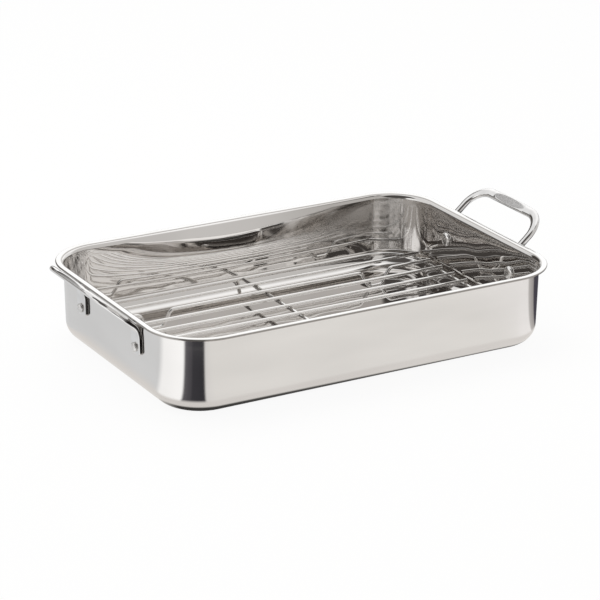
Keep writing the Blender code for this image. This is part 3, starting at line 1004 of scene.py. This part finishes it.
studio = {
    "floorSize": 3.0,
    "floorDrop": 0.0001,
    "floorColour": "#f3f2f0",
    "floorGlow": 0.93,  # share of plain white in what the camera sees of the floor
    "bounces": 16,  # the pan's inside mirrors itself many times over
    "domeGain": 1.25,
    "domeColour": "#e1e1e1",
    "shades": (  # parts of the room: azimuth and elevation, inner and outer reach in degrees, colour
        ((60, 21), (16, 40), "#ffffff"),
        ((15, 58), (24, 40), "#f6f6f6"),
        ((-60, 14), (42, 62), "#c0bebc"),
        ((-142, 36), (30, 42), "#4c4947"),
        ((-172, 12), (11, 18), "#ffffff"),
        ((-60, 60), (6, 11), "#45423f"),
        ((98, 12), (15, 22), "#45423f"),
        ((125, 0), (10, 15), "#1c1b1a"),
    ),
    "skirtTop": (0.09, 0.05),  # a grey band low in the room behind the pan: heights of its upper edge
    "skirtSides": (0.35, 0.6),  # and how far back a direction points, from the band's ends inward
    "skirtColour": "#94908d",
}


def floorMaterial():
    # Matt white paper, nearly white to the camera and with the pan's soft shadow
    material = bpy.data.materials.new("studioPaper")
    material.use_nodes = True
    tree = material.node_tree
    tree.nodes.clear()
    rays = addNode(tree, "ShaderNodeLightPath").outputs
    place = addNode(tree, "ShaderNodeNewGeometry").outputs["Position"]
    paper = addNode(tree, "ShaderNodeBsdfDiffuse", {"Color": linear(studio["floorColour"])}).outputs[0]
    white = addNode(tree, "ShaderNodeEmission", {"Strength": 1}).outputs[0]
    # what the steel sees of the floor is painted light and painted shadow, from floorInSteel
    steel = floorInSteel(tree, place)
    seen = addNode(tree, "ShaderNodeMixShader", {0: studio["floorGlow"], 1: paper, 2: white}).outputs[0]
    for ray, look in (("Is Camera Ray", seen), ("Is Glossy Ray", steel)):
        paper = addNode(tree, "ShaderNodeMixShader", {0: rays[ray], 1: paper, 2: look}).outputs[0]
    addNode(tree, "ShaderNodeOutputMaterial", {"Surface": paper})
    return material


def makeFloor():
    size = studio["floorSize"]
    shape = bmesh.new()
    shape.faces.new([shape.verts.new((x * size, y * size, -studio["floorDrop"])) for x, y in quarters])
    piece = addObject("studioFloor", smoothMesh("studioFloor", shape), (floorMaterial(),))


def direction(azimuth, elevation):
    around, up = math.radians(azimuth), math.radians(elevation)
    return Vector((math.cos(up) * math.cos(around), math.cos(up) * math.sin(around), math.sin(up)))


def makeWorld():
    world = bpy.data.worlds.new("studioDome")
    bpy.context.scene.world = world
    world.use_nodes = True
    tree = world.node_tree
    tree.nodes.clear()
    toCamera = addNode(tree, "ShaderNodeLightPath").outputs["Is Camera Ray"]
    towards = addNode(tree, "ShaderNodeTexCoord").outputs["Generated"]
    seen = linear(studio["domeColour"])
    for middle, reach, colour in studio["shades"]:
        inner, outer = [math.cos(math.radians(degrees)) for degrees in reach]
        settings = {"operation": "DOT_PRODUCT", 0: towards, 1: direction(*middle)}
        near = addNode(tree, "ShaderNodeVectorMath", settings).outputs["Value"]
        settings = {"interpolation_type": "SMOOTHSTEP", 0: near, 1: outer, 2: inner}
        part = addNode(tree, "ShaderNodeMapRange", settings).outputs[0]
        settings = {"data_type": "RGBA", 0: part, 6: seen, 7: linear(colour)}
        seen = addNode(tree, "ShaderNodeMix", settings).outputs[2]
    _, y, z = addNode(tree, "ShaderNodeSeparateXYZ", {0: towards}).outputs
    side, middle = studio["skirtSides"]
    rearward = addNode(tree, "ShaderNodeMapRange", {0: y, 1: side, 2: middle}).outputs[0]
    clear, full = studio["skirtTop"]
    skirt = addNode(tree, "ShaderNodeMapRange", {0: z, 1: clear, 2: full, 4: rearward}).outputs[0]
    settings = {"data_type": "RGBA", 0: skirt, 6: seen, 7: linear(studio["skirtColour"])}
    seen = addNode(tree, "ShaderNodeMix", settings).outputs[2]
    settings = {"data_type": "RGBA", 0: toCamera, 6: seen, 7: linear("#ffffff")}
    seen = addNode(tree, "ShaderNodeMix", settings).outputs[2]
    gain = addNode(tree, "ShaderNodeMapRange", {0: toCamera, 3: studio["domeGain"], 4: 1}).outputs[0]
    light = addNode(tree, "ShaderNodeBackground", {"Color": seen, "Strength": gain}).outputs[0]
    addNode(tree, "ShaderNodeOutputWorld", {"Surface": light})


camera = {
    "eye": Vector((-1.06778, -1.84621, 0.83627)),
    "aim": Vector((-0.00102, 0, 0.03329)),
    "lens": 158.04,
    "sensor": 36,  # mm, as the lens
    "roll": math.radians(0.501),
    "clipEnd": 20,
}


def makeCamera():
    data = bpy.data.cameras.new("camera")
    data.sensor_width = camera["sensor"]
    data.lens = camera["lens"]
    data.clip_end = camera["clipEnd"]
    placed = bpy.data.objects.new("camera", data)
    bpy.context.scene.collection.objects.link(placed)
    back = (camera["eye"] - camera["aim"]).normalized()
    right = Vector((0, 0, 1)).cross(back).normalized()
    up = back.cross(right)
    turn = Matrix((right, up, back)).transposed() @ Matrix.Rotation(camera["roll"], 3, "Z")
    placed.matrix_world = Matrix.Translation(camera["eye"]) @ turn.to_4x4()
    bpy.context.scene.camera = placed


keyLight = {"place": (-0.3, 0.5, 1.7), "size": 1.3, "power": 14}


def makeLight():
    data = bpy.data.lights.new("softbox", "AREA")
    data.shape = "SQUARE"
    data.size = keyLight["size"]
    data.energy = keyLight["power"]
    softbox = bpy.data.objects.new("softbox", data)
    softbox.location = keyLight["place"]
    softbox.rotation_euler = (-Vector(keyLight["place"])).to_track_quat("-Z", "Y").to_euler()
    softbox.visible_glossy = False  # the dome stands in for it in the steel, so that no mirror burns out
    bpy.context.scene.collection.objects.link(softbox)


makeFloor()
makeWorld()
makeCamera()
makeLight()
bpy.context.scene.view_settings.view_transform = "Standard"
bpy.context.scene.cycles.max_bounces = studio["bounces"]
bpy.context.scene.cycles.glossy_bounces = studio["bounces"]
print("studio ready")
